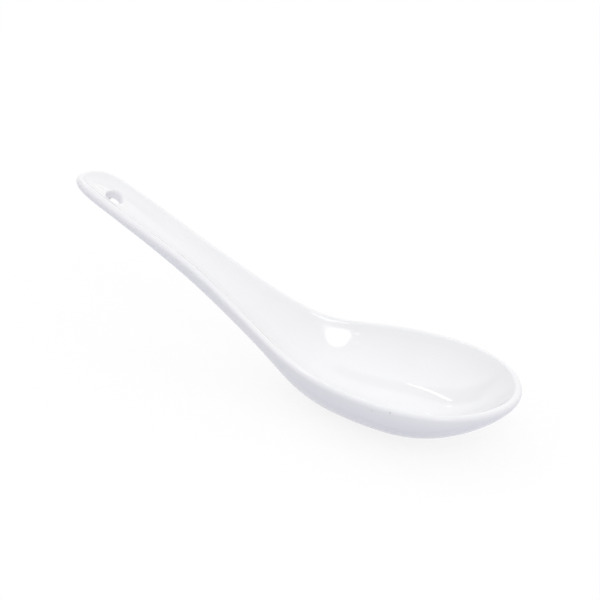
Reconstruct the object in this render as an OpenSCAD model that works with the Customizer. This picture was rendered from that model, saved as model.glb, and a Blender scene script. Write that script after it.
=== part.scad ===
// Chinese soup spoon in glazed porcelain: a deep oval bowl, a trough-shaped handle that rises
// from it with a rounded raised rim all the way round, and a hole near the handle's end to hang it by.
// Lengths are in millimetres. +X runs from the handle's end to the bowl's tip, +Y to the far side,
// +Z is up. The origin is under the middle of the spoon, which stands on its small bare foot at z = 0.

/* [Whole spoon] */
// Length over all, from the handle's end to the bowl's tip
spoon_len = 142; // [122:1:170]
// How far the rim at the handle's end stands above the rim at the bowl's tip
handle_rise = 30.2; // [24:0.1:37]

/* [Bowl] */
// Width over all of the bowl's rim
bowl_w = 46; // [40:0.5:54]
// Depth of the bowl's underside below the middle of its rounded rim
bowl_depth = 14.2; // [11:0.1:17]
// Thickness of the bowl's floor, glaze included
bowl_floor = 2.8; // [2:0.1:3.6]

/* [Handle] */
// Width over all of the handle
handle_w = 14.8; // [13.4:0.1:18]
// Depth of the handle's underside below the middle of its rounded rim, near its end
handle_depth = 3.6; // [3:0.1:4.5]
// Thickness of the handle's floor, glaze included
handle_floor = 2.9; // [2.2:0.1:3]

/* [Rim and glaze] */
// Radius of the rounded rim
rim_r = 1.3; // [1:0.05:1.6]
// Thickness of the glaze
glaze_t = 0.3; // [0.2:0.05:0.4]

/* [Hanging hole] */
// Diameter of the hole inside its glaze
hole_d = 5; // [4:0.1:6]
// Distance of the hole's middle from the handle's end
hole_in = 11.8; // [9:0.1:15]

/* [Foot] */
// Length of the bare foot, which runs from under the neck to the middle of the bowl
foot_len = 26; // [20:0.5:28]
// Width of the bare foot
foot_w = 11; // [8:0.5:13]
// How far the foot stands out of the glazed underside where that is lowest
foot_h = 0.5; // [0.4:0.05:1]

/* [Hidden] */

// How far every cut runs past what it cuts
overrun = 4;
// Samples of the curves between one station and the next, and steps round each surface
steps = 5;
under_steps = 8;
rim_steps = 6;
inside_steps = 7;
round_fn = 64;

// Thirteen stations along each half of the rim, from the handle's end to the bowl's tip, draw it as
// a smooth curve. Each list holds one share for each station.
// Place of the rim along the spoon, as shares of its length
rim_along_shares = [-0.015, 0.03, 0.085, 0.18, 0.29, 0.405, 0.495, 0.565, 0.655, 0.775, 0.87, 0.965, 1.02];
// Place of the section's middle, on the keel, as shares of the length
keel_along_shares = [0.04, 0.055, 0.10, 0.18, 0.29, 0.40, 0.485, 0.57, 0.635, 0.71, 0.75, 0.77, 0.78];
// Half width of the rim, as shares of the handle's half width and of the bowl's
handle_half_shares = [0, 0.93, 1.01, 1.02, 0.98, 0.85, 0.67, 0.49, 0.12, 0, 0, 0, 0];
bowl_half_shares = [0, 0, 0, 0, 0, 0.15, 0.32, 0.52, 0.88, 1.02, 0.98, 0.66, 0];
// Height of the rim above the bowl's tip, as shares of the handle's rise
rise_shares = [0.985, 1.02, 0.91, 0.73, 0.515, 0.245, 0.04, -0.05, -0.04, -0.03, -0.025, -0.02, 0];
// How far each section has turned from the handle's depth to the bowl's
deep_shares = [0, 0, 0, 0.13, 0.30, 0.45, 0.61, 0.94, 1.03, 1.01, 0.99, 0.99, 1];
// How far the inside of each section has turned from the handle's depth to the bowl's
deep_inside_shares = [0, 0, 0, 0.02, 0.07, 0.16, 0.32, 0.68, 0.96, 1.02, 1, 1, 1];
// Fullness of each section's underside: 2 is an ellipse, more is squarer, less is leaner
fullness_shares = [1.9, 1.9, 1.85, 2.05, 2.15, 1.9, 1.8, 1.95, 2, 2.15, 2.2, 1.75, 1.5];
// Curve of each section's inside: 2 is a parabola, more has a flatter floor and steeper walls
dish_shares = [2, 2, 2, 2, 2, 2, 2, 2.2, 2.3, 2.4, 2.4, 2.4, 2.4];

last = len(rim_along_shares) - 1;
half_n = last * steps;
loop_n = 2 * half_n;

// A station's share, mirrored past both ends of the half rim
function inside(i) = i < 0 ? -i : i > last ? 2 * last - i : i;
function even(list, i) = list[inside(i)];
function odd(list, i) = (i == inside(i) ? 1 : -1) * list[inside(i)];
// Smooth blend of four neighbouring stations at the place u between the middle two
function blend(a, b, c, d, u) = (pow(1 - u, 3) * a + (3 * pow(u, 3) - 6 * u * u + 4) * b
    + (3 * (u + u * u - pow(u, 3)) + 1) * c + pow(u, 3) * d) / 6;
function at(k) = min(floor(k / steps), last - 1);
function smooth(list, k) = let (i = at(k), u = k / steps - i)
    blend(even(list, i - 1), even(list, i), even(list, i + 1), even(list, i + 2), u);
function smooth_odd(list, k) = let (i = at(k), u = k / steps - i)
    blend(odd(list, i - 1), odd(list, i), odd(list, i + 1), odd(list, i + 2), u);

// The rim's middle line, stretched to the true length and width
rim_along = [for (k = [0:half_n]) smooth(rim_along_shares, k)];
along_scale = (spoon_len - 2 * rim_r) / (max(rim_along) - min(rim_along));
end_x = -spoon_len / 2;
function to_x(share) = end_x + rim_r + (share - min(rim_along)) * along_scale;
half_shape = [for (i = [0:last]) handle_half_shares[i] * (handle_w / 2 - rim_r)
    + bowl_half_shares[i] * (bowl_w / 2 - rim_r)];
rim_half = [for (k = [0:half_n]) smooth_odd(half_shape, k)];
half_scale = (bowl_w / 2 - rim_r) / max(rim_half);

rim_x = [for (k = [0:half_n]) to_x(rim_along[k])];
rim_y = [for (k = [0:half_n]) rim_half[k] * half_scale];
rim_rise = [for (k = [0:half_n]) handle_rise * smooth(rise_shares, k)];
rim_line = [for (k = [0:half_n]) [rim_x[k], rim_rise[k]]];

// The keel runs below the rim at the depth that each section has
deep = [for (k = [0:half_n]) smooth(deep_shares, k)];
keel_x = [for (k = [0:half_n]) to_x(smooth(keel_along_shares, k))];
rim_over_keel = [for (k = [0:half_n]) lookup(keel_x[k], rim_line)];
keel_rise = [for (k = [0:half_n]) rim_over_keel[k] - handle_depth - (bowl_depth - handle_depth) * deep[k]];
lift = foot_h - min(keel_rise);
rim_z = [for (k = [0:half_n]) lift + rim_rise[k]];
keel_z = [for (k = [0:half_n]) lift + keel_rise[k]];
power = [for (k = [0:half_n]) 2 / smooth(fullness_shares, k)];

// The floor of the inside runs above the keel
handle_inside = handle_depth - handle_floor;
bowl_inside = bowl_depth - bowl_floor;
floor_z = [for (k = [0:half_n]) lift + rim_over_keel[k] - handle_inside
    - (bowl_inside - handle_inside) * smooth(deep_inside_shares, k)];
dish = [for (k = [0:half_n]) smooth(dish_shares, k)];

// Plan direction and distance from the keel to the rim at each sample
out_len = [for (k = [0:half_n]) norm([rim_x[k] - keel_x[k], rim_y[k]])];
out_dir = [for (k = [0:half_n]) [rim_x[k] - keel_x[k], rim_y[k]] / out_len[k]];

// The rounded rim ends at a shoulder, where the inside's wall runs off it at the wall's own slope. Each
// turn brings the slope nearer to the one at which the two meet smoothly
slope_turns = 12;
first_slope = 45;
function shoulder_out(k, slope, r) = out_len[k] - r * sin(slope);
function shoulder_over_floor(k, slope, r) = rim_z[k] - floor_z[k] + r * cos(slope);
function settled(k, slope, turns) = turns == 0 ? slope
    : let (rise = dish[k] * shoulder_over_floor(k, slope, rim_r), run = shoulder_out(k, slope, rim_r))
        settled(k, atan2(rise, run), turns - 1);
slope = [for (k = [0:half_n]) settled(k, first_slope, slope_turns)];

// One point of sample k, a plan distance out from the keel and at a height, on one side
function place(k, side, out, z) = [keel_x[k] + out_dir[k].x * out, side * out_dir[k].y * out, z];
function under_point(k, side, a, skin) = place(k, side,
    (out_len[k] + rim_r - skin) * pow(cos(a), power[k]),
    rim_z[k] - (rim_z[k] - keel_z[k] - skin) * pow(sin(a), power[k]));
function rim_point(k, side, a, skin) = place(k, side,
    out_len[k] + (rim_r - skin) * cos(a), rim_z[k] + (rim_r - skin) * sin(a));
function inside_point(k, side, inward, skin) = place(k, side,
    shoulder_out(k, slope[k], rim_r - skin) * inward,
    floor_z[k] - skin + (shoulder_over_floor(k, slope[k], rim_r - skin) + skin) * pow(inward, dish[k]));

// Rings run from the keel out and up the underside, over the rim, and down the inside to the floor
ring_n = under_steps + rim_steps + inside_steps;
function ring_point(j, k, side, skin) = j <= under_steps
    ? under_point(k, side, 90 * (1 - j / under_steps), skin)
    : j <= under_steps + rim_steps
        ? rim_point(k, side, (90 + slope[k]) * (j - under_steps) / rim_steps, skin)
        : inside_point(k, side, (ring_n - j) / inside_steps, skin);

function sample(q) = q > half_n ? loop_n - q : q;
function side_of(q) = q > half_n ? -1 : 1;
function corner(j, q) = j == 0 ? sample(q)
    : j == ring_n ? half_n + 1 + (ring_n - 1) * loop_n + sample(q)
    : half_n + 1 + (j - 1) * loop_n + q % loop_n;
// Each four-cornered facet is split along the diagonal that keeps both ends of the keel open, the
// same way on both sides
function half_sample(q) = q < half_n ? q : loop_n - 1 - q;
function splits_ac(j, q) = (j < under_steps) != (half_sample(q) < half_n / 2) != (q < half_n);
function halves(a, b, c, d, ac) = ac ? [[a, b, c], [a, c, d]] : [[a, b, d], [b, c, d]];

// The spoon's whole skin as one closed surface, drawn in by the given thickness
module spoon_skin(skin) {
    spine_under = [for (k = [0:half_n]) [keel_x[k], 0, keel_z[k] + skin]];
    spine_floor = [for (k = [0:half_n]) [keel_x[k], 0, floor_z[k] - skin]];
    rings = [for (j = [1:ring_n - 1]) for (q = [0:loop_n - 1]) ring_point(j, sample(q), side_of(q), skin)];
    faces = [for (j = [0:ring_n - 1]) for (q = [0:loop_n - 1])
        for (f = halves(corner(j, q), corner(j, q + 1), corner(j + 1, q + 1), corner(j + 1, q),
            splits_ac(j, q))) f];
    polyhedron(points = concat(spine_under, rings, spine_floor), faces = faces);
}

// The foot is a flat oval, its middle at a share of the length: its back end reaches under the neck,
// behind the balance point, so the spoon stands by itself. Its top ends inside the bowl's floor
foot_along_share = 0.66;
foot_x = to_x(foot_along_share);
foot_in_floor_share = 0.82;
foot_top = foot_h + foot_in_floor_share * bowl_floor;
module foot_pad() {
    linear_extrude(foot_top) {
        for (s = [-1, 1])
            translate([foot_x + s * (foot_len - foot_w) / 2, 0]) circle(d = foot_w, $fn = round_fn);
        translate([foot_x, 0]) square([foot_len - foot_w, foot_w], center = true);
    }
}

// The hanging hole runs square through the handle's floor
handle_tilt = atan2(rim_z[2 * steps] - rim_z[4 * steps], rim_x[4 * steps] - rim_x[2 * steps]);
hole_x = end_x + hole_in;
hole_z = lift + lookup(hole_x, rim_line) - (handle_depth + handle_inside) / 2;
module hole_cut(r) {
    translate([hole_x, 0, hole_z])
        rotate([0, handle_tilt, 0])
            cylinder(r = r, h = 2 * (handle_floor + overrun), center = true, $fn = round_fn);
}

module bare_body() {
    difference() {
        union() {
            spoon_skin(glaze_t);
            foot_pad();
        }
        hole_cut(hole_d / 2 + glaze_t);
    }
}

// Fired porcelain body, bare only on its foot
module porcelain_body() {
    color("gainsboro") bare_body();
}

// Clear white glaze fused over the whole body but the foot
module glaze_coat() {
    color("ghostwhite")
        difference() {
            spoon_skin(0);
            bare_body();
            hole_cut(hole_d / 2);
        }
}

porcelain_body();
glaze_coat();
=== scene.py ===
# Chinese soup spoon in white glazed porcelain, standing on its foot on a white table: one fired
# body, and the glaze that covers all of it but the foot. Metres; +X runs to the bowl's tip, +Z is up.
import bpy
import math
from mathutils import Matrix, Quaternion, Vector


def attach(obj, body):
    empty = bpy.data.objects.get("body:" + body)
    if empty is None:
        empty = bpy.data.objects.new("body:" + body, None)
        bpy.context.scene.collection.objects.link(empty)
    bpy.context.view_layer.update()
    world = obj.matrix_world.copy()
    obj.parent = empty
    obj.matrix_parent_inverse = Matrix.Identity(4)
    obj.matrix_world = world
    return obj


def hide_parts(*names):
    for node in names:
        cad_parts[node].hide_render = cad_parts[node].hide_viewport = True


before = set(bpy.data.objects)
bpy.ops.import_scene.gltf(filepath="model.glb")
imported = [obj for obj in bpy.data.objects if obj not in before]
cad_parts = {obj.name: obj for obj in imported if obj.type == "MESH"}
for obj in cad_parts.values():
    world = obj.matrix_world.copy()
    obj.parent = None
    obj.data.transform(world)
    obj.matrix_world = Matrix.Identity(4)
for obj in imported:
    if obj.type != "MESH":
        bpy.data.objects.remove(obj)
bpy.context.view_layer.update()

# Camera: a long lens above the near side of the bowl's tip, looking down along the spoon. Its turn,
# height, lens and slight lean were fitted together with the spoon's shape, for a tilt that balances.
view_turn, view_height, lean = math.radians(26.61), math.radians(29.25), math.radians(2.97)
view_distance = 0.7
looks_at = Vector((0.00287, 0, 0.02779))
toward_camera = Vector((math.sin(view_turn) * math.cos(view_height),
                        -math.cos(view_turn) * math.cos(view_height), math.sin(view_height)))
camera = bpy.data.objects.new("camera", bpy.data.cameras.new("camera"))
camera.data.sensor_width = 36
camera.data.lens = 148.77
camera.location = looks_at + toward_camera * view_distance
upright = toward_camera.to_track_quat("Z", "Y")
camera.rotation_euler = (upright @ Quaternion((0, 0, 1), lean)).to_euler()
bpy.context.scene.collection.objects.link(camera)
bpy.context.scene.camera = camera
bpy.context.scene.view_settings.view_transform = "Standard"


# Table and surroundings: a matt white table top under the spoon, which keeps the spoon's soft
# shadow, and a white studio round it that is brighter overhead than at the sides. A dimmer beam
# behind the spoon shows only in the glaze, as the darker band across the bowl's floor.
class Wire:
    """One socket of a node tree. Sums on it add Math nodes."""

    def __init__(self, net, socket):
        self.net, self.socket = net, socket

    def _sum(self, operation, *others):
        return self.net.add("ShaderNodeMath", {"operation": operation}, *others)

    def __add__(self, other):
        return self._sum("ADD", self, other)

    def __radd__(self, other):
        return self._sum("ADD", other, self)

    def __sub__(self, other):
        return self._sum("SUBTRACT", self, other)

    def __rsub__(self, other):
        return self._sum("SUBTRACT", other, self)

    def __mul__(self, other):
        return self._sum("MULTIPLY", self, other)

    def __rmul__(self, other):
        return self._sum("MULTIPLY", other, self)

    def __truediv__(self, other):
        return self._sum("DIVIDE", self, other)

    def __rtruediv__(self, other):
        return self._sum("DIVIDE", other, self)

    def __pow__(self, other):
        return self._sum("POWER", self, other)

    def __mod__(self, other):
        return self._sum("MODULO", self, other)

    def at_least(self, other):
        return self._sum("MAXIMUM", self, other)

    def at_most(self, other):
        return self._sum("MINIMUM", self, other)

    def under(self, other):
        return self._sum("LESS_THAN", self, other)

    def step(self, low, high):
        """0 up to low, 1 from high, smooth between them."""
        return self.net.add("ShaderNodeMapRange", {"interpolation_type": "SMOOTHSTEP"},
                            self, low, high, 0.0, 1.0)


class Net:
    """A node tree that is being drawn."""

    def __init__(self, tree):
        self.tree = tree

    def add(self, kind, settings=None, *inputs, out=0, **named):
        """A node of this kind: settings first, then sockets in order, then sockets by name."""
        node = self.tree.nodes.new(kind)
        for name, value in (settings or {}).items():
            setattr(node, name, value)
        sockets = list(zip([s for s in node.inputs if s.enabled], inputs))
        sockets += [(node.inputs[name.replace("_", " ")], value) for name, value in named.items()]
        for socket, value in sockets:
            if isinstance(value, Wire):
                self.tree.links.new(value.socket, socket)
            elif value is not None:
                socket.default_value = value
        return Wire(self, [s for s in node.outputs if s.enabled][out]) if node.outputs else node

    def tint(self, share, first, second):
        """Two colours mixed by a share."""
        return self.add("ShaderNodeMix", {"data_type": "RGBA"}, share, first, second)


def new_material(name):
    material = bpy.data.materials.new(name)
    material.use_nodes = True
    material.node_tree.nodes.clear()
    return material, Net(material.node_tree)


def kinds_of_ray(net):
    """Whether the camera, a mirror reflection or a clear surface looks, as three wires."""
    return [net.add("ShaderNodeLightPath", out=i) for i in (0, 3, 6)]


table_size = 4.0
table_mesh = bpy.data.meshes.new("table_top")
table_mesh.from_pydata([(-table_size, -table_size, 0), (table_size, -table_size, 0),
                        (table_size, table_size, 0), (-table_size, table_size, 0)], [], [(0, 1, 2, 3)])
table_top = bpy.data.objects.new("table_top", table_mesh)
bpy.context.scene.collection.objects.link(table_top)
table_white, net = new_material("table_white")
seen, glossy, clear = kinds_of_ray(net)
shown = seen.at_least(glossy).at_least(clear)
white_share = 0.85
top_colour = net.tint(shown, (0.72, 0.72, 0.80, 1), (0.95, 0.95, 0.95, 1))
matt = net.add("ShaderNodeBsdfDiffuse", None, top_colour)
plain = net.add("ShaderNodeEmission", None, (1, 1, 1, 1), 1.0)
net.add("ShaderNodeOutputMaterial", None,
        net.add("ShaderNodeMixShader", None, white_share * shown, matt, plain))
table_mesh.materials.append(table_white)

studio = bpy.data.worlds.new("studio")
studio.use_nodes = True
studio.node_tree.nodes.clear()
bpy.context.scene.world = studio
net = Net(studio.node_tree)
seen, glossy, clear = kinds_of_ray(net)
direction = net.add("ShaderNodeTexCoord")
forward, back, up = [net.add("ShaderNodeSeparateXYZ", None, direction, out=i) for i in range(3)]
low_light, overhead, ahead, beam_dimming = 0.08, 0.96, 0.18, 0.85
light = low_light + overhead * up.step(0.0, 0.55) + ahead * forward.at_least(0.0)
beam = (back.step(0.04, 0.12) * (1 - back.step(0.42, 0.50)) * up.step(0.3, 0.5)
        * (1 - forward.step(0.1, 0.22)))
shows_white = seen.at_least(glossy).at_least(clear)
net.add("ShaderNodeOutputWorld", None,
        net.add("ShaderNodeBackground", None, (1, 1, 1, 1),
                light + (1 - beam_dimming * beam * glossy - light) * shows_white))


# Lamps: a soft box beside the camera, whose reflection is the bright patch at the bowl's throat, and
# a tall narrow strip behind the spoon, which draws the thin streak across the bowl's floor. Three
# small panes make the dots beside the patch and past the streak's end.
lamp_distance = 1.6
lit_place = Vector((0.02, 0, 0.01))


def soft_lamp(name, azimuth, elevation, turn, width, height, strength):
    """An oval lamp at an azimuth and elevation from the bowl, turned about its line to the bowl."""
    azimuth, elevation = math.radians(azimuth), math.radians(elevation)
    direction = Vector((math.cos(elevation) * math.cos(azimuth),
                        math.cos(elevation) * math.sin(azimuth), math.sin(elevation)))
    lamp = bpy.data.lights.new(name, "AREA")
    lamp.shape, lamp.size, lamp.size_y = "ELLIPSE", width, height
    lamp.energy = strength * math.pi * width * height
    holder = bpy.data.objects.new(name, lamp)
    holder.location = lit_place + direction * lamp_distance
    upright = direction.to_track_quat("Z", "Y")
    holder.rotation_euler = (upright @ Quaternion((0, 0, 1), math.radians(turn))).to_euler()
    bpy.context.scene.collection.objects.link(holder)


soft_lamp("soft_box", -57.2, 50.4, -34, 0.205, 0.65, 3.6)
soft_lamp("strip_light", 153, 57, -16, 0.045, 0.80, 8)
soft_lamp("pane_low", -70, 42, 0, 0.04, 0.04, 5)
soft_lamp("pane_high", -70, 49.6, 0, 0.035, 0.035, 5.5)
soft_lamp("pane_behind", 138, 37, 0, 0.04, 0.04, 10)


# Fired porcelain body: pressed in one piece in a mould and fired once before the glaze. Only its
# small foot stays bare, where it stood on the kiln shelf: matt, faintly cream and a little gritty.
def speckle(net, place, spacing, size, share):
    """1 in small round specks, one in a cell of a spacing, in only a share of the cells."""
    cells = net.add("ShaderNodeTexVoronoi", None, place, Scale=1 / spacing)
    chance = net.add("ShaderNodeTexVoronoi", None, place, out=1, Scale=1 / spacing)
    picked = net.add("ShaderNodeSeparateColor", None, chance).under(share)
    return (1 - cells.step(0.6 * size / spacing, size / spacing)) * picked


biscuit_white, net = new_material("biscuit_white")
place = net.add("ShaderNodeTexCoord", out=3)
grit = net.add("ShaderNodeTexNoise", None, place, Scale=4200.0, Detail=4.0)
cloud = net.add("ShaderNodeTexNoise", None, place, Scale=160.0, Detail=3.0)
specks = speckle(net, place, 0.0016, 0.00016, 0.22)
foot_level = net.add("ShaderNodeSeparateXYZ", None, place, out=2)
colour = net.tint(cloud.step(0.3, 0.7), (0.79, 0.765, 0.715, 1), (0.70, 0.665, 0.60, 1))
colour = net.tint(0.35 * grit.step(0.45, 0.75), colour, (0.88, 0.87, 0.84, 1))
colour = net.tint(0.55 * specks, colour, (0.34, 0.27, 0.20, 1))
# The foot is mixed 30 % toward grey in its lowest 0.3 mm, where it stands on the table
colour = net.tint(0.30 * (1 - foot_level.step(0.00003, 0.0003)), colour, (0.50, 0.48, 0.45, 1))
bump = net.add("ShaderNodeBump", None, Strength=0.5, Distance=0.00004, Height=grit)
shader = net.add("ShaderNodeBsdfPrincipled", None, Base_Color=colour,
                 Roughness=0.72 + 0.12 * cloud, Normal=bump)
net.add("ShaderNodeOutputMaterial", None, shader)
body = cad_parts["porcelain_body"]
for slot in body.material_slots:
    slot.material = biscuit_white

# Glaze: a clear glassy coat, a third of a millimetre thick, fused over the body when it was dipped
# and fired again. It rounds every edge, and it is what is seen and touched all over the spoon.
mm = 0.001
spoon_length, bowl_width, handle_width = 142 * mm, 46 * mm, 14.8 * mm
bowl_depth, bowl_inside = 14.2 * mm, 11.4 * mm
handle_rise, handle_depth, handle_inside = 30.2 * mm, 3.6 * mm, 0.7 * mm
rim_radius, foot_height = 1.3 * mm, 0.5 * mm
hole_radius, hole_from_end = 2.5 * mm, 11.8 * mm
# Thirteen stations from the handle's end to the bowl's tip, as in the solid
rim_along = [-0.015, 0.03, 0.085, 0.18, 0.29, 0.405, 0.495, 0.565, 0.655, 0.775, 0.87, 0.965, 1.02]
keel_along = [0.04, 0.055, 0.10, 0.18, 0.29, 0.40, 0.485, 0.57, 0.635, 0.71, 0.75, 0.77, 0.78]
handle_half = [0, 0.93, 1.01, 1.02, 0.98, 0.85, 0.67, 0.49, 0.12, 0, 0, 0, 0]
bowl_half = [0, 0, 0, 0, 0, 0.15, 0.32, 0.52, 0.88, 1.02, 0.98, 0.66, 0]
rise = [0.985, 1.02, 0.91, 0.73, 0.515, 0.245, 0.04, -0.05, -0.04, -0.03, -0.025, -0.02, 0]
deep = [0, 0, 0, 0.13, 0.30, 0.45, 0.61, 0.94, 1.03, 1.01, 0.99, 0.99, 1]
deep_inside = [0, 0, 0, 0.02, 0.07, 0.16, 0.32, 0.68, 0.96, 1.02, 1, 1, 1]
fullness = [1.9, 1.9, 1.85, 2.05, 2.15, 1.9, 1.8, 1.95, 2, 2.15, 2.2, 1.75, 1.5]
dish = [2, 2, 2, 2, 2, 2, 2, 2.2, 2.3, 2.4, 2.4, 2.4, 2.4]
samples = 32


def smooth_line(stations, odd=False):
    """The smooth curve that the stations draw, mirrored past both ends of the half rim."""
    last = len(stations) - 1

    def station(i):
        inside = -i if i < 0 else 2 * last - i if i > last else i
        return stations[inside] * (-1 if odd and inside != i else 1)

    line = []
    for k in range(last * samples + 1):
        i = min(k // samples, last - 1)
        u = k / samples - i
        line.append(((1 - u) ** 3 * station(i - 1) + (3 * u ** 3 - 6 * u ** 2 + 4) * station(i)
                     + (3 * (u + u * u - u ** 3) + 1) * station(i + 1) + u ** 3 * station(i + 2)) / 6)
    return line


def height_at(x, line_x, line_z):
    """Height of a line, which runs to larger x, at a place x."""
    for i in range(len(line_x) - 1):
        if line_x[i] <= x <= line_x[i + 1]:
            step_z, step_x = line_z[i + 1] - line_z[i], line_x[i + 1] - line_x[i]
            return line_z[i] + step_z * (x - line_x[i]) / step_x
    return line_z[0] if x < line_x[0] else line_z[-1]


along = smooth_line(rim_along)
stretch = (spoon_length - 2 * rim_radius) / (max(along) - min(along))
rim_x = [rim_radius - spoon_length / 2 + (a - min(along)) * stretch for a in along]
keel_x = [rim_radius - spoon_length / 2 + (a - min(along)) * stretch for a in smooth_line(keel_along)]
half = smooth_line([h * (handle_width / 2 - rim_radius) + b * (bowl_width / 2 - rim_radius)
                    for h, b in zip(handle_half, bowl_half)], odd=True)
rim_y = [h * (bowl_width / 2 - rim_radius) / max(half) for h in half]
rim_z = [handle_rise * r for r in smooth_line(rise)]
rim_over_keel = [height_at(x, rim_x, rim_z) for x in keel_x]
keel_z = [z - handle_depth - (bowl_depth - handle_depth) * d
          for z, d in zip(rim_over_keel, smooth_line(deep))]
lift = foot_height - min(keel_z)
rim_z = [z + lift for z in rim_z]
keel_z = [z + lift for z in keel_z]
floor_z = [z + lift - handle_inside - (bowl_inside - handle_inside) * d
           for z, d in zip(rim_over_keel, smooth_line(deep_inside))]
power = [2 / f for f in smooth_line(fullness)]
dish = smooth_line(dish)
# How steeply the inside leaves the rim at each place, found by repeating from a first guess
first_angle, rounds = 0.8, 12
slope = []
for k in range(len(rim_x)):
    across, drop = math.hypot(rim_x[k] - keel_x[k], rim_y[k]), rim_z[k] - floor_z[k]
    angle = first_angle
    for _ in range(rounds):
        angle = math.atan2(dish[k] * (drop + rim_radius * math.cos(angle)),
                           across - rim_radius * math.sin(angle))
    slope.append(angle)

# The rim's middle line, all the way round, carrying what each section needs
half_count = len(rim_x) - 1
around = list(range(half_count + 1)) + list(range(half_count - 1, 0, -1))
side = [-1] * (half_count + 1) + [1] * (half_count - 1)
rim_line = bpy.data.meshes.new("rim_line")
rim_line.from_pydata([(rim_x[k], s * rim_y[k], rim_z[k]) for k, s in zip(around, side)], [], [])
for name, values in (("keel_x", keel_x), ("keel_z", keel_z), ("floor_z", floor_z), ("power", power),
                     ("dish", dish), ("slope", slope)):
    kept_values = rim_line.attributes.new(name, "FLOAT", "POINT").data
    kept_values.foreach_set("value", [values[k] for k in around])
coat = bpy.data.objects.new("glaze_skin", rim_line)
bpy.context.scene.collection.objects.link(coat)

glaze_white, net = new_material("glaze_white")
place = net.add("ShaderNodeTexCoord", out=3)
cloud = net.add("ShaderNodeTexNoise", None, place, Scale=38.0, Detail=2.0)
ripple = net.add("ShaderNodeTexNoise", None, place, Scale=210.0, Detail=1.0)
peel = net.add("ShaderNodeTexNoise", None, place, Scale=900.0, Detail=1.0)
colour = net.tint(cloud.step(0.35, 0.65), (0.888, 0.888, 0.900, 1), (0.872, 0.874, 0.892, 1))
specks = speckle(net, place, 0.009, 0.00013, 0.10)
colour = net.tint(0.45 * specks, colour, (0.42, 0.36, 0.30, 1))
# Two tiny pinholes in the near rim, each a place and a radius
pinholes = None
for spot, spread in (((0.0433, -0.0227, 0.0157), 0.22 * mm), ((0.0379, -0.0228, 0.0146), 0.17 * mm)):
    apart = net.add("ShaderNodeVectorMath", {"operation": "DISTANCE"}, place, spot, out=0)
    hole = 1 - apart.step(0.5 * spread, spread)
    pinholes = hole if pinholes is None else pinholes.at_least(hole)
colour = net.tint(0.6 * pinholes, colour, (0.22, 0.19, 0.17, 1))
wave = 0.00005 * cloud + 0.000012 * ripple + 0.000001 * peel - 0.00012 * pinholes
bump = net.add("ShaderNodeBump", None, Strength=1.0, Distance=1.0, Height=wave)
shader = net.add("ShaderNodeBsdfPrincipled", None, Base_Color=colour, IOR=1.5,
                 Roughness=0.045 + 0.04 * ripple + 0.3 * pinholes, Normal=bump)
net.add("ShaderNodeOutputMaterial", None, shader)

# The skin is a section swept round the rim's line: out and up the underside, over the rounded rim
# and down the inside to the floor. A plug with flared ends then opens the hanging hole.
skin = bpy.data.node_groups.new("porcelain_skin", "GeometryNodeTree")
skin.is_modifier = True
face = skin.interface
face.new_socket("Rim line", in_out="INPUT", socket_type="NodeSocketGeometry")
sizes = (("Rim radius", "NodeSocketFloat", rim_radius), ("Under steps", "NodeSocketInt", 24),
         ("Rim steps", "NodeSocketInt", 24), ("Inside steps", "NodeSocketInt", 24),
         ("Hole radius", "NodeSocketFloat", hole_radius), ("Hole wall", "NodeSocketFloat", 2.8 * mm),
         ("Upper lip", "NodeSocketFloat", 0.8 * mm), ("Lower lip", "NodeSocketFloat", 0.15 * mm),
         ("Hole bow", "NodeSocketFloat", 45.0),
         ("Hole place", "NodeSocketVector", (0, 0, 0)), ("Hole tilt", "NodeSocketFloat", 0.0))
for name, kind, value in sizes:
    face.new_socket(name, in_out="INPUT", socket_type=kind).default_value = value
face.new_socket("Finish", in_out="INPUT", socket_type="NodeSocketMaterial")
face.new_socket("Skin", in_out="OUTPUT", socket_type="NodeSocketGeometry")
net = Net(skin)
given = skin.nodes.new("NodeGroupInput")


def size(name):
    return Wire(net, given.outputs[name])


radius, under = size("Rim radius"), size("Under steps")
over, inside = size("Rim steps"), size("Inside steps")
rings = under + over + inside + 1
count = net.add("GeometryNodeAttributeDomainSize", None, size("Rim line"))
sheet = net.add("GeometryNodeMeshGrid", None, Vertices_X=count + 1, Vertices_Y=rings)
index = net.add("GeometryNodeInputIndex")
column = net.add("ShaderNodeMath", {"operation": "FLOOR"}, (index + 0.5) / rings)
row = index - column * rings
station = column % count


def from_rim(kind, value):
    """What the rim's line carries at this column."""
    return net.add("GeometryNodeSampleIndex", {"data_type": kind}, size("Rim line"), value, station)


def carried(name):
    return from_rim("FLOAT", net.add("GeometryNodeInputNamedAttribute", {"data_type": "FLOAT"}, name))


rim_place = from_rim("FLOAT_VECTOR", net.add("GeometryNodeInputPosition"))
split = [net.add("ShaderNodeSeparateXYZ", None, rim_place, out=i) for i in range(3)]
keel_place, keel_low, floor_low = carried("keel_x"), carried("keel_z"), carried("floor_z")
quarter = math.pi / 2
bend, hollow, shoulder = carried("power"), carried("dish"), quarter + carried("slope")
run = split[0] - keel_place
reach = net.add("ShaderNodeMath", {"operation": "SQRT"}, run * run + split[1] * split[1])
under_angle = quarter * (1 - (row / under).at_most(1.0))
rim_angle = shoulder * ((row - under) / over).at_least(0.0).at_most(1.0)
inward = 1 - ((row - under - over) / inside).at_least(0.0)


def curved(operation, angle):
    return net.add("ShaderNodeMath", {"operation": operation}, angle).at_least(0.0) ** bend


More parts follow.
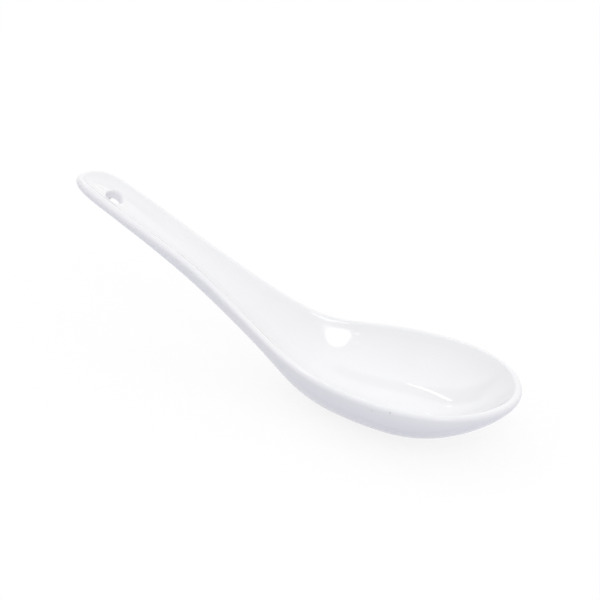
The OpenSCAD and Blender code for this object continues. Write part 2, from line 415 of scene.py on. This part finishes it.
out = ((reach + radius * net.add("ShaderNodeMath", {"operation": "COSINE"}, rim_angle))
       * curved("COSINE", under_angle) * inward)
shoulder_rise = radius * net.add("ShaderNodeMath", {"operation": "SINE"}, shoulder)
height = (split[2] + radius * net.add("ShaderNodeMath", {"operation": "SINE"}, rim_angle)
          - (split[2] - keel_low) * curved("SINE", under_angle)
          - (split[2] + shoulder_rise - floor_low) * (1 - inward ** hollow))
spot = net.add("ShaderNodeCombineXYZ", None,
               keel_place + run / reach * out, split[1] / reach * out, height)
shaped = net.add("GeometryNodeSetPosition", None, sheet, None, spot)
closed = net.add("GeometryNodeMergeByDistance", None, shaped, Distance=0.004 * mm)

wall, upper_lip, lower_lip = size("Hole wall"), size("Upper lip"), size("Lower lip")
plug = net.add("GeometryNodeMeshCylinder", {"fill_type": "NGON"}, Vertices=96, Side_Segments=48,
               Radius=1.0, Depth=wall + upper_lip)
post = [net.add("ShaderNodeSeparateXYZ", None, net.add("GeometryNodeInputPosition"), out=i)
        for i in range(3)]
upper = (post[2] + upper_lip - wall / 2).at_least(0.0)
lower = (lower_lip - wall / 2 - post[2]).at_least(0.0)
wide = size("Hole radius") + upper * upper / (2 * upper_lip) + lower * lower / (2 * lower_lip)
plug = net.add("GeometryNodeSetPosition", None, plug, None,
               net.add("ShaderNodeCombineXYZ", None, post[0] * wide, post[1] * wide,
                       post[2] + size("Hole bow") * (post[1] * wide) ** 2.0))
plug = net.add("GeometryNodeTransform", None, plug, Translation=size("Hole place"),
               Rotation=net.add("ShaderNodeCombineXYZ", None, 0.0, size("Hole tilt"), 0.0))
pierced = net.add("GeometryNodeMeshBoolean", {"operation": "DIFFERENCE", "solver": "EXACT"},
                  closed, plug)
# Smooth all over, but for edges that turn by more than this angle
sharp_from = 0.6
even = net.add("GeometryNodeSetShadeSmooth", None, pierced)
turn = net.add("GeometryNodeInputMeshEdgeAngle")
even = net.add("GeometryNodeSetShadeSmooth", {"domain": "EDGE"}, even, 1 - turn.under(sharp_from), False)
finished = net.add("GeometryNodeSetMaterial", None, net.add("GeometryNodeRealizeInstances", None, even),
                   Material=size("Finish"))
skin.links.new(finished.socket, skin.nodes.new("NodeGroupOutput").inputs[0])

# The hole is square to the handle's slope between the stations on either side of it
tail, fore = 2 * samples, 4 * samples
tilt = math.atan2(rim_z[tail] - rim_z[fore], rim_x[fore] - rim_x[tail])
hole_x = hole_from_end - spoon_length / 2
hole_z = height_at(hole_x, rim_x, rim_z) - (handle_depth + handle_inside) / 2
below = 0.15 * mm
make = coat.modifiers.new("skin", "NODES")
make.node_group = skin
entries = {item.name: item.identifier for item in face.items_tree if item.item_type == "SOCKET"}
make[entries["Hole place"]] = (hole_x - below * math.sin(tilt), 0.0, hole_z - below * math.cos(tilt))
make[entries["Hole tilt"]] = tilt
make[entries["Finish"]] = glaze_white
bpy.context.view_layer.update()
swept = bpy.data.meshes.new_from_object(coat.evaluated_get(bpy.context.evaluated_depsgraph_get()))
coat.modifiers.clear()
coat.data = swept
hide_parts("glaze_coat")
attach(coat, "root")
